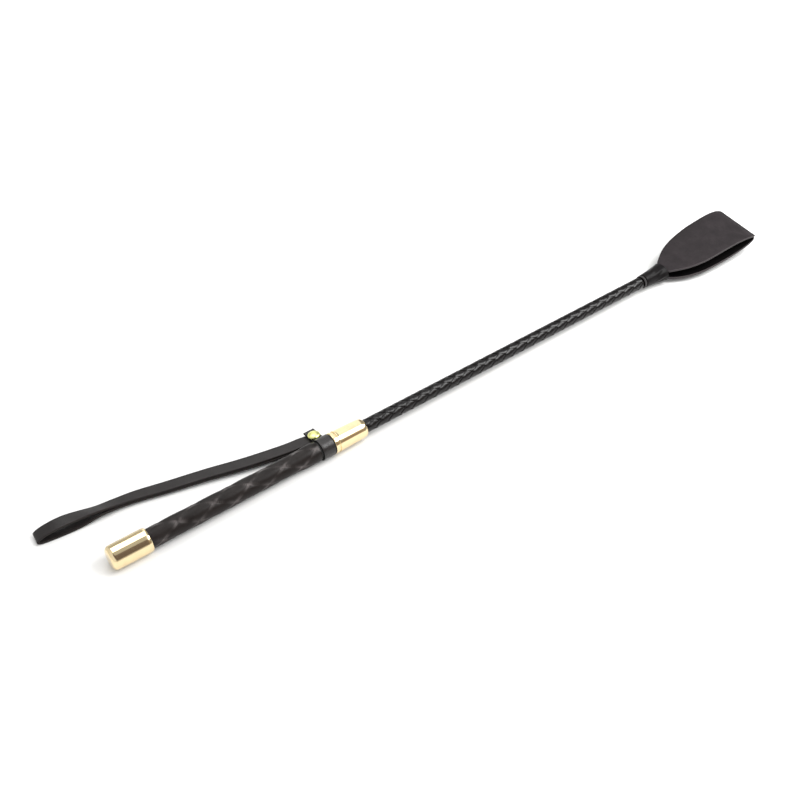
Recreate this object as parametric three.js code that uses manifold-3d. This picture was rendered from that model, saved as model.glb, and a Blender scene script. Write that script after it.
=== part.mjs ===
// A riding crop, lying on a table: plaited handle with a metal butt cap, a folded wrist strap riveted
// to a turning collar, a metal ferrule, a long plaited shaft and a folded tongue bound to its tip.
//
// Millimetres. The origin is the centre of the butt cap's flat end. +X runs along the crop towards
// the tongue, +Z is up and the wrist strap lies on the +Y side.

import * as THREE from 'three';
import { mergeVertices } from 'three/addons/utils/BufferGeometryUtils.js';
import Module from 'manifold-3d';

const wasm = await Module();
wasm.setup();

// ---------- driving dimensions ----------

const GAP = 0.3; // clearance between pieces that touch

const cap = { length: 26.8, radius: 8.25, wall: 0.95, floor: 1, endRound: 3.2, mouthRound: 2.4 };
cap.mouthRadius = 7.6;
const grip = { start: 2.3, end: 152.3, rearRadius: 6.9, frontRadius: 6.7, wall: 1.2 };
grip.swellStart = 132;
grip.swellRadius = 7.35;
const tie = { start: 142, end: 151, build: 0.6 }; // thread binding under the grip's swelling
const neck = { radius: 6, spigotEnd: 178 };
const collar = { start: 153.3, end: 163.1, innerRadius: 6.3, leather: 1.4 };
const tab = { start: 154.1, end: 162.4, reach: 20, droop: THREE.MathUtils.degToRad(10) };
const ferrule = { start: 163.6, groove: 166.3, grooveWidth: 0.8, grooveDepth: 0.5 };
ferrule.shoulder = 186.8;
ferrule.end = 190.4;
ferrule.rearRadius = 7.6;
ferrule.frontRadius = 7.1;
ferrule.lipRadius = 5.9;
const rod = { radius: 2.6, tipRadius: 1.7, end: 486 };
const shaft = { start: 179, end: 478, radius: 5, thinFrom: 467.2, thinRadius: 4.3 };
const binding = { start: 470.2, waist: 478, end: 492.2, wall: 0.7, startRadius: 5.5, waistRadius: 6 };
binding.mouthRadius = 7.6;
binding.mouthOval = 0.11;
const ring = { start: 467.6, end: 469.9, outerRadius: 5.4 };
const tongue = { leather: 1.9, rootX: 479.5, foldX: 587, halfWidth: 20.2, tailHalfWidth: 2.9 };
const strap = { width: 9.2, leather: 1.4 };
const rivet = { x: 158, reach: 12.2, headRadius: 4.4, headHeight: 2.3, shankRadius: 1.5 };
rivet.footRadius = 2.4;
rivet.footHeight = 0.6;

const FINE = 36; // facets round a piece that shows
const COARSE = 24; // facets round a hidden piece

// ---------- materials ----------

const paleGold = new THREE.MeshStandardMaterial({ color: 0xd9bf86, roughness: 0.16, metalness: 1 });
const rivetGold = new THREE.MeshStandardMaterial({ color: 0xe2d37c, roughness: 0.2, metalness: 1 });
const plaitLeather = new THREE.MeshStandardMaterial({ color: 0x1c1a1b, roughness: 0.45, metalness: 0 });
const smoothLeather = new THREE.MeshStandardMaterial({ color: 0x2a2829, roughness: 0.62, metalness: 0 });
const waxedThread = new THREE.MeshStandardMaterial({ color: 0x151314, roughness: 0.6, metalness: 0 });
const fibreglass = new THREE.MeshStandardMaterial({ color: 0xd6d2bc, roughness: 0.4, metalness: 0 });
const corePlastic = new THREE.MeshStandardMaterial({ color: 0x3a3a3a, roughness: 0.55, metalness: 0 });

// ---------- geometry helpers ----------

// A quarter ellipse from point a to point b in [x, radius], leaving a square to the axis.
function roundOver(a, b, steps) {
  const points = [];
  for (let i = 0; i <= steps; i += 1) {
    const angle = (i / steps) * Math.PI / 2;
    points.push([b[0] + (a[0] - b[0]) * Math.cos(angle), a[1] + (b[1] - a[1]) * Math.sin(angle)]);
  }
  return points;
}

// A profile of [x, radius] points turned round the crop's axis. It starts and ends on the axis, or
// is closed on itself, and is listed with its outside running from the butt towards the tip.
function turned(profile, segments) {
  const points = profile.map(([x, radius]) => new THREE.Vector2(radius, x));
  return new THREE.LatheGeometry(points, segments).rotateZ(-Math.PI / 2);
}

// A tube between two lists of [x, radius] points, both running from the butt towards the tip.
function tube(outer, inner, segments) {
  const profile = [...outer, ...inner.slice().reverse()];
  return turned([...profile, profile[0]], segments);
}

// A strip of leather lofted through stations: each has its centre, a unit vector across the strip,
// a half width and a thickness.
function ribbon(stations) {
  const positions = [];
  stations.forEach((station, i) => {
    const before = stations[Math.max(i - 1, 0)].centre;
    const after = stations[Math.min(i + 1, stations.length - 1)].centre;
    const along = after.clone().sub(before).normalize();
    const across = station.across.clone().normalize();
    const normal = along.clone().cross(across).normalize();
    for (const [u, v] of [[-1, -1], [1, -1], [1, 1], [-1, 1]]) {
      const corner = station.centre.clone();
      corner.addScaledVector(across, u * station.halfWidth);
      corner.addScaledVector(normal, v * station.thickness / 2);
      positions.push(corner.x, corner.y, corner.z);
    }
  });
  const index = [0, 2, 1, 0, 3, 2];
  for (let i = 0; i + 1 < stations.length; i += 1) {
    for (let k = 0; k < 4; k += 1) {
      const [a, b] = [4 * i + k, 4 * i + (k + 1) % 4];
      index.push(a, b, b + 4, a, b + 4, a + 4);
    }
  }
  const last = 4 * (stations.length - 1);
  index.push(last, last + 1, last + 2, last, last + 2, last + 3);
  const geometry = new THREE.BufferGeometry();
  geometry.setAttribute('position', new THREE.Float32BufferAttribute(positions, 3));
  geometry.setIndex(index);
  return geometry;
}

function toManifold(source) {
  const bare = source.clone();
  bare.deleteAttribute('normal');
  bare.deleteAttribute('uv');
  const merged = mergeVertices(bare, 1e-4);
  const vertProperties = new Float32Array(merged.attributes.position.array);
  const triVerts = new Uint32Array(merged.index.array);
  return new wasm.Manifold(new wasm.Mesh({ numProp: 3, vertProperties, triVerts }));
}

function fromManifold(solid) {
  const { vertProperties, triVerts } = solid.getMesh();
  const geometry = new THREE.BufferGeometry();
  geometry.setAttribute('position', new THREE.BufferAttribute(vertProperties, 3));
  geometry.setIndex(new THREE.BufferAttribute(triVerts, 1));
  return geometry;
}

// Cut one geometry out of another.
function drilled(body, drill) {
  return fromManifold(toManifold(body).subtract(toManifold(drill)));
}

function mesh(name, geometry, material) {
  const piece = new THREE.Mesh(geometry, material);
  piece.name = name;
  return piece;
}

// ---------- core ----------

function coreRod() {
  const tip = rod.end - 1;
  const profile = [[cap.floor + GAP, 0], [cap.floor + GAP, rod.radius], [tip, rod.tipRadius], [rod.end, 1]];
  return turned([...profile, [rod.end, 0]], COARSE);
}

// The rod's radius where it passes x: it tapers evenly to the tip.
function rodRadiusAt(x) {
  return THREE.MathUtils.lerp(rod.radius, rod.tipRadius, x / rod.end);
}

function handleCore() {
  const start = cap.floor + GAP;
  const gripBed = grip.frontRadius - grip.wall - GAP;
  const bore = rod.radius + GAP;
  const step = grip.end + GAP;
  const outer = [[start, gripBed], [step, gripBed], [step, neck.radius], [neck.spigotEnd, neck.radius]];
  return tube(outer, [[start, bore], [neck.spigotEnd, bore]], COARSE);
}

// ---------- handle ----------

// The plaited cover, drawn in tightly over the core and swelling over the tie at its front end.
function handleGrip() {
  const { start, end, rearRadius, frontRadius, swellStart, swellRadius, wall } = grip;
  const bore = frontRadius - wall;
  const tieBore = bore + tie.build + GAP;
  const outer = [[start, rearRadius], [cap.length, rearRadius], [swellStart, frontRadius]];
  outer.push([(swellStart + end) / 2, (frontRadius + swellRadius) / 2], [end - 3.5, swellRadius]);
  outer.push([end - 1, swellRadius - 0.2], [end, swellRadius - 0.5]);
  const inner = [[start, bore], [tie.start - GAP, bore], [tie.start - GAP, tieBore], [end, tieBore]];
  return tube(outer, inner, FINE);
}

function buttCap() {
  const flat = cap.radius - cap.endRound;
  const mouthStart = cap.length - cap.mouthRound;
  const outer = [[0, 0], ...roundOver([0, flat], [cap.endRound, cap.radius], 6), [mouthStart, cap.radius]];
  for (let i = 1; i <= 4; i += 1) {
    const angle = (i / 4) * Math.PI / 2;
    const drop = (cap.radius - cap.mouthRadius) * (1 - Math.cos(angle));
    outer.push([mouthStart + cap.mouthRound * Math.sin(angle), cap.radius - drop]);
  }
  const bore = cap.radius - cap.wall;
  const inner = [[cap.length, bore], [cap.floor + 1, bore], [cap.floor, bore - 1], [cap.floor, 0]];
  return turned([...outer, ...inner], FINE);
}

// ---------- strap collar, wrist strap and rivet ----------

// The tab hangs from the neck at a small angle, so it is modelled level and turned about the axis.
function tabPoint(x, reach, height) {
  return new THREE.Vector3(x, reach, height).applyAxisAngle(new THREE.Vector3(1, 0, 0), -tab.droop);
}

// Half of the room between the tab's two leaves: two layers of strap and a gap each side of both.
const tabHalfRoom = strap.leather + 1.5 * GAP;

function strapCollar() {
  const middle = collar.innerRadius + collar.leather / 2;
  const leafHeight = tabHalfRoom + collar.leather / 2;
  const join = THREE.MathUtils.degToRad(52);
  const onBand = [middle * Math.cos(join), middle * Math.sin(join)];
  const outline = new THREE.Path();
  outline.moveTo(tab.reach, leafHeight);
  outline.lineTo(9.8, leafHeight);
  outline.bezierCurveTo(7.4, leafHeight, 6.2, leafHeight + 0.9, onBand[0], onBand[1]);
  outline.absarc(0, 0, middle, join, 2 * Math.PI - join, false);
  outline.bezierCurveTo(6.2, -leafHeight - 0.9, 7.4, -leafHeight, 9.8, -leafHeight);
  outline.lineTo(tab.reach, -leafHeight);
  const stations = outline.getSpacedPoints(72).map((point) => {
    const onLeaf = THREE.MathUtils.smoothstep(point.x, 4.5, 9);
    const start = THREE.MathUtils.lerp(collar.start, tab.start, onLeaf);
    const end = THREE.MathUtils.lerp(collar.end, tab.end, onLeaf);
    return {
      centre: tabPoint((start + end) / 2, point.x, point.y),
      across: new THREE.Vector3(1, 0, 0),
      halfWidth: (end - start) / 2,
      thickness: collar.leather,
    };
  });
  return drilled(ribbon(stations), rivetHole());
}

// The strap is one strip folded back on itself. Each row is a place along its middle line: x, y and
// z, then its bearing off the crop's axis and how far its far edge is turned down, in degrees.
const strapRows = [
  [161.6, 13.15, -1.45, 4, 10], [155, 13.7, -1.55, 5, 10], [147, 14.9, -1.85, 9, 5],
  [135.4, 16.85, -2.4, 12, 4], [109.4, 22.6, -2.9, 14, 4], [83.4, 29.8, -3.3, 15, 5],
  [57.4, 36.3, -3.9, 14, 6], [38.4, 41.3, -4.1, 11, 9], [24, 43.6, -3.9, 7, 15],
  [12, 45, -3.4, 5, 20], [2, 45.8, -2.1, 4, 12], [-7, 46.1, -0.8, 4, 3], [-14, 46.4, -0.7, 4, 0],
  [-20.5, 47, -1.7, 5, 0], [-25.4, 47.6, -3.4, 5, 0], [-28.3, 47.9, -5.4, 5, 0], [-26.5, 47.6, -7, 5, 0],
  [-20, 46.5, -7.2, 4, 0], [-8, 45.2, -7.2, 4, 1], [2, 44.3, -6.8, 4, 8], [12, 43.4, -5.7, 5, 20],
  [24, 43.1, -5.8, 7, 15], [38.4, 41, -5.9, 11, 9], [57.4, 36, -5.6, 14, 6],
  [83.4, 29.4, -5, 15, 5], [109.4, 22.2, -4.6, 14, 4], [135.4, 16.1, -4.1, 12, 4],
  [147, 14.3, -3.5, 9, 5], [155, 13.4, -3.22, 5, 10], [161.6, 12.85, -3.13, 4, 10],
];

function wristStrap() {
  const centres = strapRows.map(([x, y, z]) => new THREE.Vector3(x, y, z));
  const turns = strapRows.map((row) => new THREE.Vector3(row[3], row[4], 0));
  const line = new THREE.CatmullRomCurve3(centres, false, 'catmullrom', 0.5);
  const turning = new THREE.CatmullRomCurve3(turns, false, 'catmullrom', 0.5);
  const steps = 4 * (strapRows.length - 1);
  const stations = [];
  for (let i = 0; i <= steps; i += 1) {
    const turn = turning.getPoint(i / steps).multiplyScalar(Math.PI / 180);
    stations.push({
      centre: line.getPoint(i / steps),
      across: new THREE.Vector3(Math.sin(turn.x), Math.cos(turn.x), -Math.tan(turn.y)),
      halfWidth: strap.width / 2,
      thickness: strap.leather,
    });
  }
  return drilled(ribbon(stations), rivetHole());
}

const tabFace = tabHalfRoom + collar.leather; // the tab's outer face, over its middle

// A round bar through the tab at the rivet, turned from a profile of [height, radius] points.
function rivetBar(profile) {
  const points = profile.map(([height, radius]) => new THREE.Vector2(radius, height));
  const seat = tabPoint(rivet.x, rivet.reach, 0);
  const bar = new THREE.LatheGeometry(points, COARSE).rotateX(Math.PI / 2 - tab.droop);
  return bar.translate(seat.x, seat.y, seat.z);
}

function rivetHole() {
  const radius = rivet.shankRadius + GAP;
  const far = tabFace + 2;
  return rivetBar([[-far, 0], [-far, radius], [far, radius], [far, 0]]);
}

function rivetCap() {
  const base = tabFace + GAP;
  const rim = 0.5;
  const profile = [[base, 0], [base, rivet.headRadius - 0.3]];
  for (let i = 0; i < 6; i += 1) {
    const angle = (i / 6) * Math.PI / 2;
    const lift = (rivet.headHeight - rim) * Math.sin(angle);
    profile.push([base + rim + lift, rivet.headRadius * Math.cos(angle)]);
  }
  return rivetBar([...profile, [base + rivet.headHeight, 0]]);
}

function rivetPost() {
  const seat = -tabFace - GAP;
  const foot = seat - rivet.footHeight;
  const profile = [[foot, 0], [foot, rivet.footRadius], [seat, rivet.footRadius]];
  profile.push([seat, rivet.shankRadius]);
  return rivetBar([...profile, [tabFace, rivet.shankRadius], [tabFace, 0]]);
}

// ---------- ferrule and shaft ----------

function metalFerrule() {
  const { start, groove, shoulder, end, rearRadius, frontRadius, lipRadius } = ferrule;
  const grooveEnd = groove + ferrule.grooveWidth;
  const grooveRadius = rearRadius - ferrule.grooveDepth;
  const outer = [[start, rearRadius - 0.3], [start + 0.4, rearRadius], [groove, rearRadius]];
  outer.push([groove, grooveRadius], [grooveEnd, grooveRadius]);
  outer.push([grooveEnd, rearRadius], [shoulder, frontRadius]);
  for (let i = 1; i <= 5; i += 1) {
    const angle = (i / 5) * Math.PI / 2;
    const drop = (frontRadius - lipRadius) * (1 - Math.cos(angle));
    outer.push([shoulder + (end - shoulder) * Math.sin(angle), frontRadius - drop]);
  }
  const bore = neck.radius + GAP;
  const lip = shaft.radius + GAP;
  return tube(outer, [[start, bore], [shoulder, bore], [shoulder + 1, lip], [end, lip]], FINE);
}

function shaftCover() {
  const { start, end, radius, thinFrom, thinRadius } = shaft;
  const outer = [[start, radius], [thinFrom - 1, radius], [thinFrom, thinRadius], [end, thinRadius]];
  return tube(outer, [[start, rodRadiusAt(start) + GAP], [end, rodRadiusAt(end) + GAP]], FINE);
}

// ---------- tip ----------

function bindingRadiusAt(x) {
  const { start, waist, end, startRadius, waistRadius, mouthRadius } = binding;
  if (x < waist) {
    return THREE.MathUtils.mapLinear(x, start, waist, startRadius, waistRadius);
  }
  const spread = (x - waist) / (end - waist);
  return THREE.MathUtils.lerp(waistRadius, mouthRadius, spread ** 1.4);
}

// The sleeve is round on the shaft and spreads sideways into an oval at its mouth.
function tipBinding() {
  const stations = 10;
  const outer = [];
  for (let i = 0; i <= stations; i += 1) {
    const x = THREE.MathUtils.lerp(binding.start, binding.end, i / stations);
    outer.push([x, bindingRadiusAt(x)]);
  }
  const inner = outer.map(([x, radius]) => [x, radius - binding.wall]);
  const geometry = tube(outer, inner, FINE);
  const place = geometry.attributes.position;
  for (let i = 0; i < place.count; i += 1) {
    const oval = binding.mouthOval * THREE.MathUtils.smoothstep(place.getX(i), binding.waist, binding.end);
    place.setY(i, place.getY(i) * (1 + oval));
    place.setZ(i, place.getZ(i) * (1 - oval));
  }
  return geometry;
}

function bindingRing() {
  const { start, end, outerRadius } = ring;
  const bore = shaft.thinRadius + GAP;
  const outer = [[start, outerRadius - 0.3], [start + 0.4, outerRadius], [end - 0.4, outerRadius]];
  return tube([...outer, [end, outerRadius - 0.3]], [[start, bore], [end, bore]], FINE);
}

// The tongue is one strip folded double. Each row is a place along its middle line: x, z and its
// half width there.
const tongueRows = [
  [tongue.rootX, 2.95, tongue.tailHalfWidth], [486, 2.95, 3.8], [491.5, 3, 4.8],
  [494, 3.3, 7], [497, 4, 9], [501, 4.8, 11.4], [508, 6.1, 14.9], [516, 7.5, 17.4],
  [526, 9.1, 19.2], [540, 11.3, 20.1], [556, 12.7, tongue.halfWidth], [568, 12.9, tongue.halfWidth],
  [577, 12, 20], [582.6, 10.5, 19.4], [585.4, 9.4, 18.6], [tongue.foldX - 1, 7.9, 17.6],
  [585.4, 6.6, 18.6], [582, 5.7, 19.4], [574, 4.2, 20.1], [560, 1.9, tongue.halfWidth],
  [544, 0.1, 20.1], [526, -1.3, 19.3], [516, -2.1, 17.5], [508, -2.8, 15], [501, -3.4, 11.4],
  [497, -3.5, 9], [494, -3.2, 7], [491.5, -3, 4.8], [486, -2.95, 3.8],
  [tongue.rootX, -2.95, tongue.tailHalfWidth],
];
const tongueRoll = THREE.MathUtils.degToRad(10); // its near edge hangs lower towards the fold
const tongueSkew = 0.07; // the fold isn't quite square to the crop's axis

function foldedTongue() {
  const middle = tongueRows.map(([x, z, halfWidth]) => new THREE.Vector3(x, halfWidth, z));
  const line = new THREE.CatmullRomCurve3(middle, false, 'catmullrom', 0.5);
  const steps = 3 * (tongueRows.length - 1);
  const stations = [];
  for (let i = 0; i <= steps; i += 1) {
    const { x, y: halfWidth, z } = line.getPoint(i / steps);
    const outward = Math.max(THREE.MathUtils.mapLinear(x, binding.end, tongue.foldX, 0, 1), 0);
    const roll = tongueRoll * outward ** 1.5;
    const skew = tongueSkew * outward ** 2;
    stations.push({
      centre: new THREE.Vector3(x, 0, z),
      across: new THREE.Vector3(-skew, Math.cos(roll), Math.sin(roll)),
      halfWidth,
      thickness: tongue.leather,
    });
  }
  return ribbon(stations);
}

// ---------- hidden ties ----------

// A band of waxed thread that holds a plait's end down.
function threadTie(start, end, bore, build) {
  const outer = [[start, bore + build - 0.2], [start + 0.4, bore + build], [end - 0.4, bore + build]];
  return tube([...outer, [end, bore + build - 0.2]], [[start, bore], [end, bore]], COARSE);
}

function gripTie() {
  return threadTie(tie.start, tie.end, grip.frontRadius - grip.wall, tie.build);
}

function shaftTie() {
  return threadTie(shaft.start + 1, shaft.start + 6, shaft.radius + GAP, 0.5);
}

// ---------- assembly ----------

const crop = new THREE.Group();
crop.add(mesh('core_rod', coreRod(), fibreglass));
crop.add(mesh('handle_core', handleCore(), corePlastic));
crop.add(mesh('grip_tie', gripTie(), waxedThread));
crop.add(mesh('shaft_tie', shaftTie(), waxedThread));
crop.add(mesh('handle_grip', handleGrip(), plaitLeather));
crop.add(mesh('butt_cap', buttCap(), paleGold));
crop.add(mesh('ferrule', metalFerrule(), paleGold));
crop.add(mesh('shaft_cover', shaftCover(), plaitLeather));
crop.add(mesh('tip_binding', tipBinding(), smoothLeather));
crop.add(mesh('binding_ring', bindingRing(), waxedThread));
crop.add(mesh('tongue', foldedTongue(), smoothLeather));

const swivel = new THREE.Group();
swivel.add(mesh('strap_collar', strapCollar(), smoothLeather));
swivel.add(mesh('wrist_strap', wristStrap(), smoothLeather));
swivel.add(mesh('rivet_cap', rivetCap(), rivetGold));
swivel.add(mesh('rivet_post', rivetPost(), rivetGold));
crop.add(swivel);

export default crop;
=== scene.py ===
"""The looks of a riding crop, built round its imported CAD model.

Every shape is drawn in millimetres in the model's own frame (the origin is the centre of the butt
cap's flat end, +X runs to the tongue and +Z is up), and solid() turns it into metres.
"""

from math import cos, pi, radians, sin, tanh

import bmesh
import bpy
import numpy as np
from mathutils import Matrix, Vector


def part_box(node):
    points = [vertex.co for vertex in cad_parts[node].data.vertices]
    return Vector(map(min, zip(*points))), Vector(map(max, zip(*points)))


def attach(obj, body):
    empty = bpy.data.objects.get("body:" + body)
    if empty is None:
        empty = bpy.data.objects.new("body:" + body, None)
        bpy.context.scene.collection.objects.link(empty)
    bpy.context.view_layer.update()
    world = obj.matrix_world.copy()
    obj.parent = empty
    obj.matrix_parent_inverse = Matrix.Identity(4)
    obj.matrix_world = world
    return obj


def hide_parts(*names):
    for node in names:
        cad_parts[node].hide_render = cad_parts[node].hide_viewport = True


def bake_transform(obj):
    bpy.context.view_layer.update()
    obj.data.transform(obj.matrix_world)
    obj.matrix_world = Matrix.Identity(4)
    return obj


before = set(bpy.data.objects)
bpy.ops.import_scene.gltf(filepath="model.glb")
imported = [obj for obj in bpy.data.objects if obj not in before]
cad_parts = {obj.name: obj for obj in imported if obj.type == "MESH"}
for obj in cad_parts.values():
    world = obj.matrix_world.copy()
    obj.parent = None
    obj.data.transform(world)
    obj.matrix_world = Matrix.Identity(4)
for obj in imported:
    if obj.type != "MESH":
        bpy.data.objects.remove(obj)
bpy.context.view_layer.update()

MM = 0.001
AROUND = 160  # facets round a turned piece
SHARP_ANGLE = 40  # between two faces, in degrees, from which their edge isn't smoothed
GRAIN_DEPTH = 0.00003  # of a leather's pebbles, in metres


def span(node):
    """The lowest and highest corner of a CAD node, in millimetres."""
    low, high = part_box(node)
    return low / MM, high / MM


cap_low, cap_high = span("butt_cap")
grip_low, grip_high = span("handle_grip")
ferrule_low, ferrule_high = span("ferrule")
collar_low, collar_high = span("strap_collar")
shaft_low, shaft_high = span("shaft_cover")
ring_low, ring_high = span("binding_ring")
binding_low, binding_high = span("tip_binding")
tongue_low = span("tongue")[0]
table_height = cap_low.z  # the crop lies on its butt cap


# ---------- outlines ----------


def smooth_step(value, start, end):
    t = np.clip((np.asarray(value, float) - start) / (end - start), 0, 1)
    return t * t * (3 - 2 * t)


def arc(centre, radii, start, end, steps):
    """Points on an ellipse's arc, between two angles in degrees."""
    turns = np.radians(np.linspace(start, end, steps + 1))
    return [(centre[0] + radii[0] * cos(t), centre[1] + radii[1] * sin(t)) for t in turns]


def spaced(outline, longest):
    """The same outline with points added, so that no step is longer than that."""
    points = [outline[0]]
    for a, b in zip(outline, outline[1:]):
        steps = max(1, int(np.hypot(b[0] - a[0], b[1] - a[1]) / longest + 0.999))
        for i in range(1, steps + 1):
            points.append((a[0] + (b[0] - a[0]) * i / steps, a[1] + (b[1] - a[1]) * i / steps))
    return points


def through(rows, steps):
    """A smooth line through rows of numbers, as a uniform Catmull-Rom spline does it."""
    rows = np.array(rows, float)
    rows = np.vstack([2 * rows[0] - rows[1], rows, 2 * rows[-1] - rows[-2]])
    line = []
    for p, q, r, s in zip(rows, rows[1:], rows[2:], rows[3:]):
        for t in np.arange(steps) / steps:
            bend = (2 * p - 5 * q + 4 * r - s) * t + (3 * q - p - 3 * r + s) * t * t
            line.append(q + ((r - p) + bend) * t / 2)
    return np.array([*line, rows[-2]])


def strip_section(thickness, corner, across_steps, corner_steps=4):
    """Points round a strip's section: the share of its flat half width (-1 to 1), what its rounded
    corner adds to that, and the height over its middle. The last list numbers the surface after
    each point: 0 for the upper face, 1 for a cut edge and 2 for the lower face."""
    half = thickness / 2
    flat = half - corner
    shares, added, heights, surfaces = [], [], [], []
    for side, up in ((1, -1), (1, 1), (-1, 1), (-1, -1)):
        first = {(1, -1): -90, (1, 1): 0, (-1, 1): 90, (-1, -1): 180}[side, up]
        for turn in np.radians(np.linspace(first, first + 90, corner_steps + 1)):
            shares.append(side)
            added.append(corner * cos(turn))
            heights.append(up * flat + corner * sin(turn))
            surfaces.append(1)
        face = 0 if up > 0 else 2
        if side == up:
            surfaces[-1] = face
            for i in range(1, across_steps):
                shares.append(side * (1 - 2 * i / across_steps))
                added.append(0)
                heights.append(up * half)
                surfaces.append(face)
    return np.array(shares), np.array(added), np.array(heights), surfaces


# ---------- solids ----------


def solid(name, points, faces, materials, slot, face_materials=None, place=None, wear=None):
    """A closed mesh from points in millimetres, with its faces turned outwards. The last argument
    gives, at each point from 0 to 1, how strong a painted highlight is there."""
    mesh = bpy.data.meshes.new(name)
    mesh.from_pydata((np.array(points, float) * MM).tolist(), [], faces)
    for material in materials:
        mesh.materials.append(material)
    if face_materials is not None:
        mesh.polygons.foreach_set("material_index", face_materials)
    # A point attribute with the strength of the painted highlight at each point.
    if wear is not None:
        layer = mesh.attributes.new("wear", "FLOAT", "POINT")
        layer.data.foreach_set("value", np.ravel(wear).astype(np.float32))
    if place is not None:
        mesh.transform(place)
    edit = bmesh.new()
    edit.from_mesh(mesh)
    bmesh.ops.remove_doubles(edit, verts=edit.verts, dist=1e-7)
    bmesh.ops.recalc_face_normals(edit, faces=edit.faces)
    edit.to_mesh(mesh)
    edit.free()
    mesh.shade_smooth()
    mesh.set_sharp_from_angle(angle=radians(SHARP_ANGLE))
    piece = bpy.data.objects.new(name, mesh)
    bpy.context.scene.collection.objects.link(piece)
    return piece


def turned(name, profile, materials, slot, shape=None, around=AROUND, **options):
    """A closed profile of (x, radius) points turned round the crop's axis. A profile that starts
    and ends on the axis is a solid bar, and any other is a tube. shape may move the points."""
    count = len(profile)
    closed = profile[0][1] > 0
    profile = np.array(profile, float)
    turns = np.arange(around) * 2 * pi / around
    points = np.empty((around, count, 3))
    points[:, :, 0] = profile[:, 0]
    points[:, :, 1] = profile[:, 1] * np.cos(turns)[:, None]
    points[:, :, 2] = profile[:, 1] * np.sin(turns)[:, None]
    if shape is not None:
        points = shape(points, turns)
    faces = []
    for k in range(around):
        here, there = k * count, (k + 1) % around * count
        for i in range(count if closed else count - 1):
            j = (i + 1) % count
            faces.append((here + i, here + j, there + j, there + i))
    return solid(name, points.reshape(-1, 3), faces, materials, slot, **options)


def lofted(name, rings, materials, slot, surfaces=None, **options):
    """A closed solid through rings of points. surfaces numbers the material after each point."""
    count, around = rings.shape[:2]
    faces, paint = [], []
    for i in range(count - 1):
        here, there = i * around, (i + 1) * around
        for k in range(around):
            j = (k + 1) % around
            faces.append((here + k, here + j, there + j, there + k))
            paint.append(surfaces[k] if surfaces else 0)
    faces.append(tuple(range(around))[::-1])
    faces.append(tuple((count - 1) * around + k for k in range(around)))
    paint += [1 if surfaces else 0] * 2
    points = rings.reshape(-1, 3)
    return solid(name, points, faces, materials, slot, face_materials=paint, **options)


def strip_rings(centres, across, half_widths, section):
    """Rings round a strip that runs through centres, with across as its direction at each."""
    shares, added, heights = section[:3]
    corner = max(added)
    along = np.gradient(centres, axis=0)
    normals = np.cross(along, across)
    across = across / np.linalg.norm(across, axis=1)[:, None]
    normals /= np.linalg.norm(normals, axis=1)[:, None]
    sides = (half_widths - corner)[:, None] * shares + added
    flat = centres[:, None] + sides[:, :, None] * across[:, None]
    return flat + heights[:, None] * normals[:, None]


def drilled(piece, cutter):
    """Cuts the cutter's shape out of the piece, and removes the cutter."""
    cut = piece.modifiers.new("hole", "BOOLEAN")
    cut.object = cutter
    cut.operation = "DIFFERENCE"
    cut.solver = "EXACT"
    bpy.context.view_layer.update()
    evaluated = piece.evaluated_get(bpy.context.evaluated_depsgraph_get())
    mesh = bpy.data.meshes.new_from_object(evaluated)
    piece.modifiers.clear()
    piece.data = mesh
    bpy.data.objects.remove(cutter)
    return piece


# ---------- materials ----------


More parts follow.
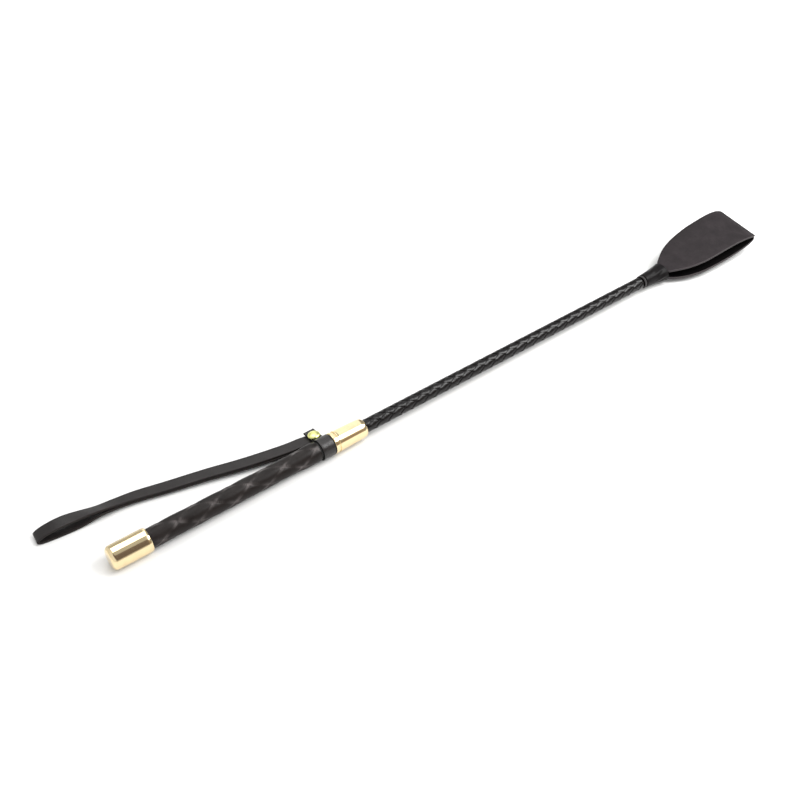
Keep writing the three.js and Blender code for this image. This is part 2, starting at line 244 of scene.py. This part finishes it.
class Recipe:
    """A node material in the making: a Principled shader and the nodes that feed it."""

    def __init__(self, name, **sockets):
        self.material = bpy.data.materials.new(name)
        self.material.use_nodes = True
        self.tree = self.material.node_tree
        self.shader = self.tree.nodes["Principled BSDF"]
        for socket, value in sockets.items():
            self.shader.inputs[socket.replace("_", " ")].default_value = value
        self.place = self.add("ShaderNodeTexCoord").outputs["Object"]
        self.normal = None

    def add(self, kind, settings=(), **inputs):
        node = self.tree.nodes.new(kind)
        for key, value in dict(settings).items():
            setattr(node, key, value)
        for socket, value in inputs.items():
            socket = node.inputs[socket.replace("_", " ")]
            if isinstance(value, bpy.types.NodeSocket):
                self.tree.links.new(value, socket)
            else:
                socket.default_value = value
        return node

    def stretched(self, scale):
        return self.add("ShaderNodeMapping", Vector=self.place, Scale=scale).outputs["Vector"]

    def noise(self, scale, detail=3, roughness=0.55, place=None):
        place = place or self.place
        node = self.add("ShaderNodeTexNoise", Vector=place, Scale=scale, Detail=detail)
        node.inputs["Roughness"].default_value = roughness
        return node.outputs["Fac"]

    def cells(self, scale):
        settings = {"feature": "SMOOTH_F1"}
        node = self.add("ShaderNodeTexVoronoi", settings, Vector=self.place, Scale=scale)
        node.inputs["Smoothness"].default_value = 0.35
        return node.outputs["Distance"]

    def ranged(self, value, low, high, source=(0.3, 0.7)):
        node = self.add("ShaderNodeMapRange", Value=value, To_Min=low, To_Max=high)
        node.inputs["From Min"].default_value, node.inputs["From Max"].default_value = source
        return node.outputs["Result"]

    def colours(self, value, *stops):
        """A colour ramp over value: each stop is its place and its colour."""
        node = self.add("ShaderNodeValToRGB", Fac=value)
        ramp = node.color_ramp
        for stop in stops[2:]:
            ramp.elements.new(stop[0])
        for element, (place, colour) in zip(ramp.elements, stops):
            element.position = place
            element.color = (*colour, 1)
        self.tree.links.new(node.outputs["Color"], self.shader.inputs["Base Color"])
        return node.outputs["Color"]

    def highlight_paint(self, base, colour, patches):
        """Mixes a paler colour into the base colour as a painted highlight, as strong as the
        mesh's painted highlight attribute says.
        """
        # The strength of the painted highlight that the mesh carries at each point.
        wear = self.add("ShaderNodeAttribute", {"attribute_name": "wear"}).outputs["Fac"]
        amount = self.add("ShaderNodeMath", {"operation": "MULTIPLY"})
        self.tree.links.new(wear, amount.inputs[0])
        self.tree.links.new(patches, amount.inputs[1])
        mix = self.add("ShaderNodeMix", {"data_type": "RGBA"}, Factor=amount.outputs["Value"])
        mix.inputs["B"].default_value = (*colour, 1)
        self.tree.links.new(base, mix.inputs["A"])
        self.tree.links.new(mix.outputs["Result"], self.shader.inputs["Base Color"])

    def bump(self, height, depth):
        """Relief of that depth in metres, over what is there already."""
        node = self.add("ShaderNodeBump", Height=height, Distance=depth, Strength=1.0)
        if self.normal is not None:
            self.tree.links.new(self.normal, node.inputs["Normal"])
        self.normal = node.outputs["Normal"]
        self.tree.links.new(self.normal, self.shader.inputs["Normal"])

    def rough(self, value):
        self.tree.links.new(value, self.shader.inputs["Roughness"])


def shade(colour, factor):
    return tuple(c * factor for c in colour)


def leather(name, colour, roughness, grain=1500, specular=0.4, highlight_paint=None):
    """Dyed leather: fine pebbled grain, softer folds, and uneven dye and polish. The optional last
    colour is a painted highlight, mixed in where the mesh asks for one."""
    made = Recipe(name, Specular_IOR_Level=specular)
    dye = made.noise(95, detail=5)
    base = made.colours(dye, (0.3, shade(colour, 0.78)), (0.5, colour), (0.72, shade(colour, 1.3)))
    # A paler colour painted in as a highlight, mottled by noise, where the mesh says so.
    if highlight_paint is not None:
        patches = made.ranged(made.noise(190, detail=5), 0.2, 1, source=(0.36, 0.6))
        made.highlight_paint(base, highlight_paint, patches)
    made.rough(made.ranged(made.noise(260, detail=4), roughness - 0.08, roughness + 0.08))
    made.bump(made.noise(170, detail=3), 0.00012)
    made.bump(made.cells(grain), GRAIN_DEPTH)
    made.bump(made.noise(grain * 2.4, detail=4, roughness=0.7), GRAIN_DEPTH * 0.5)
    return made.material


def cut_edge(name, colour):
    """The fibrous, inked edge of cut leather."""
    made = Recipe(name, Specular_IOR_Level=0.25)
    fibres = made.noise(2600, detail=5, roughness=0.7)
    made.colours(fibres, (0.3, shade(colour, 0.5)), (0.55, colour), (0.8, shade(colour, 1.8)))
    made.rough(made.ranged(fibres, 0.6, 0.85))
    made.bump(made.noise(1700, detail=4, roughness=0.65), 0.00009)
    return made.material


def polished_metal(name, colour, roughness, turning=(5200, 60, 60)):
    """Plated metal: faint turning marks round the axis and slightly uneven polish."""
    made = Recipe(name, Metallic=1.0)
    cloud = made.noise(130, detail=4)
    made.colours(cloud, (0.32, shade(colour, 0.93)), (0.5, colour), (0.7, shade(colour, 1.04)))
    marks = made.noise(1, detail=3, place=made.stretched(turning))
    made.rough(made.ranged(marks, roughness * 0.75, roughness * 1.3))
    made.bump(marks, 0.0000012)
    made.bump(made.noise(210, detail=2), 0.00001)
    return made.material


def waxed_thread(name, colour):
    """Thread with the slant of its twist and a little fuzz."""
    made = Recipe(name, Specular_IOR_Level=0.4, Sheen_Weight=0.15)
    twist = made.add("ShaderNodeTexWave", {"bands_direction": "DIAGONAL"}, Vector=made.place)
    twist.inputs["Scale"].default_value = 900
    twist.inputs["Distortion"].default_value = 1.5
    made.colours(twist.outputs["Fac"], (0.1, shade(colour, 0.6)), (0.9, shade(colour, 1.6)))
    made.rough(made.ranged(made.noise(800), 0.5, 0.7))
    made.bump(twist.outputs["Fac"], 0.00006)
    return made.material


def moulded(name, colour, roughness, streaks):
    """Moulded or drawn plastic, with streaks along the crop."""
    made = Recipe(name)
    lines = made.noise(1, detail=4, place=made.stretched(streaks))
    made.colours(lines, (0.3, shade(colour, 0.85)), (0.7, shade(colour, 1.1)))
    made.rough(made.ranged(made.noise(400), roughness - 0.06, roughness + 0.06))
    made.bump(lines, 0.00002)
    return made.material


# The grip's paler second colour is a painted highlight on its strips' edges at the crossings.
grip_leather = leather("grip_leather", (0.0095, 0.0073, 0.0067), 0.4, grain=1300, specular=0.17,
                       highlight_paint=(0.105, 0.092, 0.09))
shaft_leather = leather("shaft_leather", (0.0032, 0.0025, 0.0026), 0.25, grain=1900, specular=0.3)
strap_leather = leather("strap_leather", (0.0125, 0.0106, 0.0102), 0.36, specular=0.27)
collar_leather = leather("collar_leather", (0.011, 0.0093, 0.009), 0.32, specular=0.45)
tongue_leather = leather("tongue_leather", (0.0165, 0.0134, 0.0145), 0.6, specular=0.16)
binding_leather = leather("binding_leather", (0.0038, 0.0031, 0.0033), 0.42, grain=2100,
                          specular=0.13)
flesh_side = leather("flesh_side", (0.0025, 0.0022, 0.0022), 0.9, specular=0.05)
liner_leather = leather("liner_leather", (0.006, 0.0055, 0.0055), 0.7, specular=0.2)
inked_edge = cut_edge("inked_edge", (0.005, 0.0042, 0.004))
strap_edge = cut_edge("strap_edge", (0.013, 0.0105, 0.0098))
tongue_edge = cut_edge("tongue_edge", (0.042, 0.036, 0.0375))
pale_gold = polished_metal("pale_gold_metal", (0.87, 0.71, 0.43), 0.12)
rivet_brass = polished_metal("rivet_brass", (0.86, 0.86, 0.33), 0.34, turning=(900, 900, 900))
thread = waxed_thread("waxed_thread", (0.016, 0.014, 0.014))
fibreglass = moulded("fibreglass", (0.7, 0.67, 0.54), 0.35, (40, 2400, 2400))
core_plastic = moulded("core_plastic", (0.03, 0.03, 0.03), 0.5, (60, 300, 300))


# ---------- plaited covers ----------


class Plait:
    """A tubular plait: strips of both hands that pass over and under each other, round the crop's
    axis. pairs is the number of strips of each hand, cover the share of the surface that one hand
    covers, and leather a strip's thickness. A strip rises and sinks by relief, the more suddenly
    the higher the crispness. crown is how far its middle stands up, and bevel the share of its
    thickness that is pared off its edges. The phase is the x and the angle of one crossing of two
    gaps."""

    def __init__(
        self, pairs, pitch, cover, leather, relief, crispness, crown, bevel, phase, radius_at
    ):
        self.pairs, self.pitch, self.cover, self.leather = pairs, pitch, cover, leather
        self.relief, self.crispness, self.crown, self.bevel = relief, crispness, crown, bevel
        self.phase_x = phase[0]
        self.phase_angle = radians(phase[1]) - pi / pairs
        self.radius_at = radius_at

    def strip(self, name, hand, number, start, end, step, materials, slot):
        """One strip, between start and end. Its sections are square to the crop's axis."""
        half_angle = self.cover * pi / self.pairs
        corner = 0.42 * self.leather
        section = strip_section(self.leather, corner, 12, 3)
        shares, added, heights, surfaces = section
        stations = np.linspace(start, end, int((end - start) / step) + 1)
        outside = self.radius_at(stations)[:, None]
        middle = outside - self.relief - self.leather / 2 - max(self.crown, 0)
        advance = 2 * pi * (stations - self.phase_x) / self.pitch
        centre = hand * advance + 2 * pi * number / self.pairs
        side = shares + added / (half_angle * middle.mean())
        angle = centre[:, None] + side * half_angle
        crossing = angle + hand * advance[:, None]
        over = np.tanh(self.crispness * np.cos(self.pairs * crossing / 2)) / tanh(self.crispness)
        crowned = self.crown * (1 - shares**2) * (heights > 0)
        skived = (heights + self.leather / 2) * (1 - self.bevel * shares**4) - self.leather / 2
        radius = middle + hand * (-1) ** number * self.relief * over + skived + crowned
        turn = angle + self.phase_angle
        along = np.broadcast_to(stations[:, None], radius.shape)
        rings = np.stack([along, radius * np.cos(turn), radius * np.sin(turn)], axis=2)
        # Where the painted highlight goes on this strip, and how strongly.
        wear = self.wear(angle, advance[:, None])
        return lofted(name, rings, materials, slot, surfaces, wear=wear)

    def wear(self, angle, advance):
        """Painted highlights: a cross on the strips' edges wherever two gaps cross, where the
        raised edges would catch the light.
        """
        arm_width, arm_length = 0.4, 1.8  # in radians, for a plait of one pair
        gap = 2 * pi / self.pairs
        off_right, off_left = (np.abs((angle + way * advance) % gap - gap / 2) for way in (-1, 1))
        near, far = np.minimum(off_right, off_left), np.maximum(off_right, off_left)
        across, along = near * self.pairs / arm_width, far * self.pairs / arm_length
        return np.exp(-(across**2) - along**2)

    def cover_nodes(self, prefix, nodes, start, end, step, materials, slot):
        for hand, side in ((1, "right"), (-1, "left")):
            for number in range(self.pairs):
                name = f"{prefix}_{side}_{number + 1}"
                piece = self.strip(name, hand, number, start, end, step, materials, slot)
                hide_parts(*nodes)
                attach(piece, "crop")


def grip_radius(x):
    """The grip's outside: drawn in a little towards the front, then swelling over the tie."""
    rear, front, swell, tucked = 6.9, 6.72, 7.35, 6.75
    narrowest, swell_start, swell_end, tuck = 128, 131, 146, 3.2
    drawn_in = rear + (front - rear) * smooth_step(x, cap_high.x, narrowest)
    swollen = drawn_in + (swell - front) * smooth_step(x, swell_start, swell_end)
    return swollen + (tucked - swell) * smooth_step(x, grip_high.x - tuck, grip_high.x)


def shaft_radius(x):
    """The shaft's outside, drawn in where it goes under the ring and the binding."""
    outside, drawn_in = 5.0, 0.7
    return outside - drawn_in * smooth_step(x, ring_low.x - 1.4, ring_low.x - 0.3)


grip_plait = Plait(pairs=3, pitch=77.25, cover=0.97, leather=0.66, relief=0.26, crispness=2.2,
                   crown=0.08, bevel=0.5, phase=(98.1, 118), radius_at=grip_radius)
shaft_plait = Plait(pairs=4, pitch=42, cover=0.84, leather=0.5, relief=0.34, crispness=1.8,
                    crown=-0.22, bevel=0.3, phase=(250, 100), radius_at=shaft_radius)


def plaited_covers():
    """The strips and laces, and a plain liner that closes the gaps between the laces."""
    grip_plait.cover_nodes("grip_strip", ["handle_grip"], grip_low.x, grip_high.x, 1.0,
                           [grip_leather] * 3, "grip_leather")
    shaft_plait.cover_nodes("shaft_lace", ["shaft_cover"], shaft_low.x, shaft_high.x, 0.6,
                            [shaft_leather, inked_edge, liner_leather], "shaft_leather")
    bore, outside, front_bore, front_outside = 2.9, 3.5, 2.1, 2.7
    liner = [(shaft_low.x, bore), (shaft_low.x, outside), (ring_low.x - 2, outside)]
    liner += [(ring_low.x, front_outside), (shaft_high.x, front_outside)]
    liner += [(shaft_high.x, front_bore)]
    piece = turned("shaft_liner", spaced(liner, 12), [liner_leather], "shaft_leather", around=48)
    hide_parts("shaft_cover")
    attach(piece, "crop")


# ---------- metal ----------


def butt_cap():
    length, radius = cap_high.x, cap_high.z
    end_round, mouth_radius, mouth_round, wall, floor = 3.2, 7.6, 2.4, 0.95, 1.0
    bore = radius - wall
    profile = [(0, 0), *arc((end_round, radius - end_round), (end_round, end_round), 180, 90, 16)]
    mouth = (length - mouth_round, mouth_radius)
    profile += arc(mouth, (mouth_round, radius - mouth_radius), 90, 0, 14)
    profile += [(length - 0.1, bore), (floor + 1, bore), (floor, bore - 1), (floor, 0)]
    piece = turned("cap_shell", spaced(profile, 0.7), [pale_gold], "pale_gold_metal")
    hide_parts("butt_cap")
    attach(piece, "crop")


def metal_ferrule():
    start, end, rear, front, lip = ferrule_low.x, ferrule_high.x, ferrule_high.z, 7.1, 5.9
    shoulder = end - 3.6
    bore, shaft_bore = 6.3, 5.3
    groove, groove_width, groove_depth, soft = start + 2.7, 0.8, 0.5, 0.22
    bead, bead_height = 1.1, 0.12
    after = groove + groove_width
    profile = arc((start + 0.45, rear - 0.45), (0.45, 0.45), 180, 90, 6)
    profile += arc((groove - soft, rear - soft), (soft, soft), 90, 0, 5)
    profile += [(groove, rear - groove_depth), (after, rear - groove_depth)]
    profile += arc((after + soft, rear - soft), (soft, soft + bead_height), 180, 90, 5)
    profile += [(after + bead, rear + bead_height * 0.4), (after + bead + 0.5, rear - 0.03)]
    profile += arc((shoulder, lip), (end - shoulder, front - lip), 90, 0, 22)
    profile += [(end, shaft_bore), (shoulder + 1, shaft_bore), (shoulder, bore), (start, bore)]
    piece = turned("ferrule_shell", spaced(profile, 0.7), [pale_gold], "pale_gold_metal")
    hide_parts("ferrule")
    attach(piece, "crop")


# ---------- collar, strap and rivet ----------

tab_droop = radians(10)
strap_thickness, strap_width = 1.4, 9.2
half_leather, leaf_gap = strap_thickness / 2, 0.45
leaf_height = strap_thickness + leaf_gap + half_leather  # a leaf's middle, over the tab's middle
leaf_face = leaf_height + half_leather
rivet_x, rivet_reach, shank_radius = 158, 12.2, 1.5
tab_turn = Matrix.Rotation(-tab_droop, 4, "X")
at_rivet = Matrix.Translation(Vector((rivet_x, rivet_reach, 0)) * MM)
# Turns a piece drawn along X into one that stands on the tab at the rivet.
on_tab = tab_turn @ at_rivet @ Matrix.Rotation(-pi / 2, 4, "Y")


def rivet_bar(name, profile, materials, slot, around=96):
    """A round bar through the tab at the rivet, turned from (height, radius) points."""
    return turned(name, profile, materials, slot, around=around, place=on_tab)


def rivet_hole():
    far, radius = leaf_face + 2, shank_radius + 0.3
    return rivet_bar("rivet_hole", [(-far, 0), (-far, radius), (far, radius), (far, 0)],
                     [inked_edge], "strap_leather", around=32)


def rivet():
    head, height, rim, lift = 4.4, 2.3, 0.45, 0.3
    base = leaf_face + lift
    dome = [(base, 0), (base, head - 0.4)]
    dome += arc((base + rim / 2, head - 0.2), (rim / 2, 0.2), 180, 90, 4)
    dome += arc((base + rim, 0), (height - rim, head - 0.05), 90, 0, 22)
    cap = rivet_bar("rivet_head", spaced(dome, 0.4), [rivet_brass], "rivet_brass")
    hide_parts("rivet_cap")
    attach(cap, "collar")
    foot, foot_height, seat = 2.4, 0.6, -leaf_face - lift
    post = [(seat - foot_height, 0)]
    post += arc((seat - 0.25, foot - 0.35), (0.35, 0.35), 180, 90, 6)
    post += [(seat, foot), (seat, shank_radius), (leaf_face, shank_radius), (leaf_face, 0)]
    stem = rivet_bar("rivet_stem", spaced(post, 0.4), [rivet_brass], "rivet_brass")
    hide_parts("rivet_post")
    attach(stem, "collar")


def strap_collar():
    """A band round the neck whose two ends lie as leaves on each side of the strap."""
    middle, join, reach = 7.0, 52, 20
    leaf = [(reach, leaf_height), (9.8, leaf_height)]
    start, end = leaf[1], (middle * cos(radians(join)), middle * sin(radians(join)))
    pull_a, pull_b = (7.4, leaf_height), (6.2, leaf_height + 0.9)
    curve = (start, pull_a, pull_b, end)  # a cubic Bezier curve from the leaf to the band
    sweep = []
    for t in np.linspace(0, 1, 12)[1:-1]:
        weights = ((1 - t) ** 3, 3 * t * (1 - t) ** 2, 3 * t * t * (1 - t), t**3)
        sweep.append(tuple(np.dot(weights, [p[k] for p in curve]) for k in (0, 1)))
    upper = spaced(leaf, 0.8) + sweep
    lower = [(a, -b) for a, b in reversed(upper)]
    outline = np.array(upper + arc((0, 0), (middle, middle), join, 360 - join, 72) + lower)
    on_leaf = smooth_step(outline[:, 0], 4.5, 9)
    starts = collar_low.x + 0.8 * on_leaf
    ends = collar_high.x - 0.7 * on_leaf
    centres = np.column_stack([(starts + ends) / 2, outline])
    across = np.tile([1.0, 0, 0], (len(centres), 1))
    section = strip_section(strap_thickness, 0.32, 8)
    rings = strip_rings(centres, across, (ends - starts) / 2, section)
    materials = [collar_leather, inked_edge, collar_leather]
    piece = lofted("collar_band", rings, materials, "strap_leather", section[3], place=tab_turn)
    drilled(piece, rivet_hole())
    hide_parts("strap_collar")
    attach(piece, "collar")


# The strap is one strip folded back on itself. Each row is a place along its middle line: x, y and
# z, then its bearing off the crop's axis and how far its far edge is turned down, in degrees.
strap_rows = [
    (161.6, 13.15, -1.45, 4, 10), (155, 13.7, -1.55, 5, 10), (147, 14.9, -1.85, 9, 5),
    (135.4, 16.85, -2.4, 12, 4), (109.4, 22.6, -2.9, 14, 4), (83.4, 29.8, -3.3, 15, 5),
    (57.4, 36.3, -3.9, 14, 6), (38.4, 41.3, -4.1, 11, 9), (24, 43.6, -3.9, 7, 15),
    (12, 45, -3.4, 5, 20), (2, 45.8, -2.1, 4, 12), (-7, 46.1, -0.8, 4, 3), (-14, 46.4, -0.7, 4, 0),
    (-20.5, 47, -1.7, 5, 0), (-25.4, 47.6, -3.4, 5, 0), (-28.3, 47.9, -5.4, 5, 0),
    (-26.5, 47.6, -7, 5, 0), (-20, 46.5, -7.2, 4, 0), (-8, 45.2, -7.2, 4, 1),
    (2, 44.3, -6.8, 4, 8), (12, 43.4, -5.7, 5, 20),
    (24, 43.1, -5.8, 7, 15), (38.4, 41, -5.9, 11, 9), (57.4, 36, -5.6, 14, 6),
    (83.4, 29.4, -5, 15, 5), (109.4, 22.2, -4.6, 14, 4), (135.4, 16.1, -4.1, 12, 4),
    (147, 14.3, -3.5, 9, 5), (155, 13.4, -3.22, 5, 10), (161.6, 12.85, -3.13, 4, 10),
]


def wrist_strap():
    line = through(strap_rows, 8)
    bearing, drop = np.radians(line[:, 3]), np.radians(line[:, 4])
    across = np.column_stack([np.sin(bearing), np.cos(bearing), -np.tan(drop)])
    section = strip_section(strap_thickness, 0.3, 8)
    half_widths = np.full(len(line), strap_width / 2)
    rings = strip_rings(line[:, :3], across, half_widths, section)
    materials = [strap_leather, strap_edge, strap_leather]
    piece = lofted("wrist_strap_leather", rings, materials, "strap_leather", section[3])
    drilled(piece, rivet_hole())
    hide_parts("wrist_strap")
    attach(piece, "strap")


# ---------- tip ----------


def tip_binding():
    """A leather sleeve, round on the shaft and pleated softly towards its oval mouth."""
    start, end = binding_low.x, binding_high.x
    waist, mouth_radius, oval, wall = start + 7.8, 7.6, 0.11, 0.7
    twist, pleat_depth = 0.045, 0.028  # in radians per millimetre, and as a share of the radius

    def radius_at(x):
        if x < waist:
            return 5.5 + 0.5 * (x - start) / (waist - start)
        return 6 + (mouth_radius - 6) * ((x - waist) / (end - waist)) ** 1.4

    stations = np.linspace(start, end, 45)
    outer = [(x, radius_at(x)) for x in stations]
    rim = arc((end - wall / 2, radius_at(end) - wall / 2), (wall / 2, wall / 2), 90, -90, 6)
    inner = [(x, radius_at(x) - wall) for x in stations[::-1]]
    lip = arc((start + 0.3, outer[0][1] - wall / 2), (0.3, wall / 2), 270, 90, 6)

    def spread(points, turns):
        x = points[:, :, 0]
        share = oval * smooth_step(x, waist, end)
        twisted = turns[:, None] + twist * (x - start)
        folds = np.sin(7 * twisted + 1.1) + 0.6 * np.sin(12 * twisted + 0.4)
        depth = pleat_depth * folds * smooth_step(x, start + 1, end - 4)
        pleat = 1 + depth * smooth_step(end - x, 0.5, 6)
        points[:, :, 1] *= (1 + share) * pleat
        points[:, :, 2] *= (1 - share) * pleat
        return points

    profile = [*lip[:-1], *[p for p in outer if start + 0.3 < p[0] < end - wall / 2], *rim[:-1]]
    profile += [p for p in inner if start + 0.3 < p[0] < end - wall / 2]
    piece = turned("binding_sleeve", profile, [binding_leather], "binding_leather", shape=spread)
    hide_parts("tip_binding")
    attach(piece, "crop")


def ring_thread():
    """Three turns of thick thread that finish the binding's rear end."""
    turns, radius, facets = 3, 0.39, 12
    coil = ring_high.z - radius
    first, last = ring_low.x + radius, ring_high.x - radius
    steps = 64 * turns
    t = np.arange(steps + 1) / steps
    angle = 2 * pi * turns * t
    along = first + (last - first) * t
    centres = np.column_stack([along, coil * np.cos(angle), coil * np.sin(angle)])
    outwards = centres * (0, 1 / coil, 1 / coil)
    around = np.arange(facets) * 2 * pi / facets
    aside = np.cos(around)[:, None] * np.array([1.0, 0, 0])
    rings = centres[:, None] + radius * (aside + np.sin(around)[:, None] * outwards[:, None])
    piece = lofted("ring_thread", rings, [thread], "waxed_thread")
    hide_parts("binding_ring")
    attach(piece, "crop")


# The tongue is one strip folded double. Each row is a place along its middle line: x, z and its
# half width there.
root, fold = tongue_low.x, 587
tongue_rows = [
    (root, 2.95, 2.9), (486, 2.95, 3.8), (491.5, 3, 4.8), (494, 3.3, 7), (497, 4, 9),
    (501, 4.8, 11.4), (508, 6.1, 14.9), (516, 7.5, 17.4), (526, 9.1, 19.2), (540, 11.3, 20.1),
    (556, 12.7, 20.2), (568, 12.9, 20.2), (577, 12, 20), (582.6, 10.5, 19.4), (585.4, 9.4, 18.6),
    (586, 7.9, 17.6), (585.4, 6.6, 18.6), (582, 5.7, 19.4), (574, 4.2, 20.1), (560, 1.9, 20.2),
    (544, 0.1, 20.1), (526, -1.3, 19.3), (516, -2.1, 17.5), (508, -2.8, 15), (501, -3.4, 11.4),
    (497, -3.5, 9), (494, -3.2, 7), (491.5, -3, 4.8), (486, -2.95, 3.8), (root, -2.95, 2.9),
]


def folded_tongue():
    thickness, full_roll, full_skew = 1.9, radians(10), 0.07
    line = through(tongue_rows, 6)
    x, z, half_widths = line.T
    outward = np.maximum((x - binding_high.x) / (fold - binding_high.x), 0)
    roll = full_roll * outward**1.5
    centres = np.column_stack([x, np.zeros(len(x)), z])
    across = np.column_stack([-full_skew * outward**2, np.cos(roll), np.sin(roll)])
    section = strip_section(thickness, 0.45, 16)
    rings = strip_rings(centres, across, half_widths, section)
    materials = [tongue_leather, tongue_edge, flesh_side]
    piece = lofted("folded_tongue", rings, materials, "tongue_leather", section[3])
    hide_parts("tongue")
    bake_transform(piece)


# ---------- CAD nodes that stay ----------


def finish_cad_nodes():
    finishes = {"core_rod": fibreglass, "handle_core": core_plastic}
    finishes |= {"grip_tie": thread, "shaft_tie": thread}
    for node, material in finishes.items():
        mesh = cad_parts[node].data
        mesh.materials.clear()
        mesh.materials.append(material)


# ---------- studio ----------


def studio_floor():
    mesh = bpy.data.meshes.new("studio_floor")
    half, height = 4.0, table_height * MM
    corners = [(a * half, b * half, height) for a, b in ((-1, -1), (1, -1), (1, 1), (-1, 1))]
    mesh.from_pydata(corners, [], [(0, 1, 2, 3)])
    paper = Recipe("studio_paper", Roughness=0.75, Specular_IOR_Level=0.1)
    paper.shader.inputs["Base Color"].default_value = (0.69, 0.69, 0.682, 1)
    mesh.materials.append(paper.material)
    floor = bpy.data.objects.new("studio_floor", mesh)
    bpy.context.scene.collection.objects.link(floor)


def soft_box(name, centre, target, size, radiance):
    """A rectangular soft light at centre that faces target, with that brightness on its face."""
    light = bpy.data.lights.new(name, "AREA")
    light.shape = "RECTANGLE"
    light.size, light.size_y = size
    light.energy = radiance * size[0] * size[1] * pi
    lamp = bpy.data.objects.new(name, light)
    lamp.location = centre
    lamp.rotation_euler = (Vector(target) - Vector(centre)).to_track_quat("-Z", "Y").to_euler()
    lamp.visible_camera = False
    bpy.context.scene.collection.objects.link(lamp)


def overhead_fill():
    """A wide, soft light from above that polished pieces don't mirror."""
    light = bpy.data.lights.new("overhead_fill", "SUN")
    light.angle = radians(80)
    light.energy = 2
    lamp = bpy.data.objects.new("overhead_fill", light)
    lamp.rotation_euler = (radians(35), radians(22), 0)
    lamp.visible_glossy = False
    bpy.context.scene.collection.objects.link(lamp)


def studio_light():
    """A pale studio: soft boxes over the back and over the tongue's side, a fill from above, and
    walls that are grey behind the handle, brighter at both ends, with a dark gap where the
    photographer stands. The camera itself sees plain white in place of the walls."""
    soft_box("key_box", (0.22, 0.44, 1.0), (0.22, 0, 0), (0.5, 0.95), 2.9)
    soft_box("side_box", (0.92, -0.42, 0.85), (0.92, -0.42, 0), (0.86, 0.66), 8.5)
    overhead_fill()
    wall_grey, gap_centre, gap_size, gap_slope = 0.54, (0.1, 0.585), (0.48, 0.34), 0.65
    gap_dark, gap_amber = (0.17, 0.14, 0.135, 1), (0.36, 0.29, 0.23, 1)
    seen_white = (0.98, 0.98, 0.98, 1)
    world = bpy.data.worlds.new("studio")
    bpy.context.scene.world = world
    world.use_nodes = True
    tree = world.node_tree
    tree.nodes.clear()

    def linked(node, inputs):
        for socket, value in inputs.items():
            socket = node.inputs[socket if isinstance(socket, int) else socket.replace("_", " ")]
            if isinstance(value, bpy.types.NodeSocket):
                tree.links.new(value, socket)
            else:
                socket.default_value = value
        return node

    def math(operation, a, b):
        node = tree.nodes.new("ShaderNodeMath")
        node.operation = operation
        return linked(node, {0: a, 1: b}).outputs["Value"]

    def ramp(value, start, end, low, high):
        node = tree.nodes.new("ShaderNodeMapRange")
        node.interpolation_type = "SMOOTHSTEP"
        inputs = {"Value": value, "From_Min": start, "From_Max": end}
        return linked(node, inputs | {"To_Min": low, "To_Max": high}).outputs["Result"]

    place = tree.nodes.new("ShaderNodeTexCoord").outputs["Generated"]
    x, y, z = linked(tree.nodes.new("ShaderNodeSeparateXYZ"), {"Vector": place}).outputs
    # x, y and z are a direction. Towards the tongue the wall is bright in a band, and darker past
    # it. Towards the butt it is brighter than the grey between.
    right = math("MULTIPLY", ramp(x, 0.18, 0.36, 0, 0.85), ramp(x, 0.45, 0.54, 1, 0))
    right = math("ADD", right, ramp(x, 0.47, 0.6, 0, -0.2))
    left = ramp(x, -0.35, -0.1, 1, 0)
    left = math("MULTIPLY", left, ramp(y, 0.2, 0.5, 0.4, 0.3))
    walls = math("ADD", math("ADD", right, left), wall_grey)
    # The gap is a slanting ellipse, on the photographer's side only.
    across = math("DIVIDE", math("SUBTRACT", x, gap_centre[0]), gap_size[0])
    sloped = math("ADD", z, math("MULTIPLY", x, gap_slope))
    upward = math("DIVIDE", math("SUBTRACT", sloped, gap_centre[1]), gap_size[1])
    distance = math("ADD", math("MULTIPLY", across, across), math("MULTIPLY", upward, upward))
    inside = math("MULTIPLY", ramp(distance, 0.85, 1.1, 1, 0), ramp(y, -0.25, -0.1, 1, 0))
    shade_mix = tree.nodes.new("ShaderNodeMix")
    shade_mix.data_type = "RGBA"
    channels = {"Red": walls, "Green": walls, "Blue": walls}
    grey = linked(tree.nodes.new("ShaderNodeCombineColor"), channels)
    gap_mix = tree.nodes.new("ShaderNodeMix")
    gap_mix.data_type = "RGBA"
    linked(gap_mix, {"Factor": ramp(x, 0.15, 0.36, 0, 1), "A": gap_dark, "B": gap_amber})
    inputs = {"Factor": inside, "A": grey.outputs["Color"], "B": gap_mix.outputs["Result"]}
    linked(shade_mix, inputs)
    lit = linked(tree.nodes.new("ShaderNodeBackground"), {"Color": shade_mix.outputs["Result"]})
    seen = linked(tree.nodes.new("ShaderNodeBackground"), {"Color": seen_white})
    path = tree.nodes.new("ShaderNodeLightPath").outputs["Is Camera Ray"]
    choices = {"Fac": path, 1: lit.outputs[0], 2: seen.outputs[0]}
    mix = linked(tree.nodes.new("ShaderNodeMixShader"), choices)
    linked(tree.nodes.new("ShaderNodeOutputWorld"), {"Surface": mix.outputs["Shader"]})


def camera():
    """Stands in front of the butt, and looks down along the crop."""
    lens = bpy.data.cameras.new("camera")
    lens.lens, lens.sensor_width = 45, 36
    lens.clip_start = 0.01
    viewer = bpy.data.objects.new("camera", lens)
    viewer.location = (-0.0850, -0.4075, 0.4889)
    elevation, azimuth = 43.31, -37.02
    viewer.rotation_euler = (radians(90 - elevation), 0, radians(azimuth))
    bpy.context.scene.collection.objects.link(viewer)
    bpy.context.scene.camera = viewer


camera()
studio_floor()
studio_light()
plaited_covers()
butt_cap()
metal_ferrule()
rivet()
strap_collar()
wrist_strap()
tip_binding()
ring_thread()
folded_tongue()
finish_cad_nodes()
bpy.context.scene.view_settings.view_transform = "Standard"
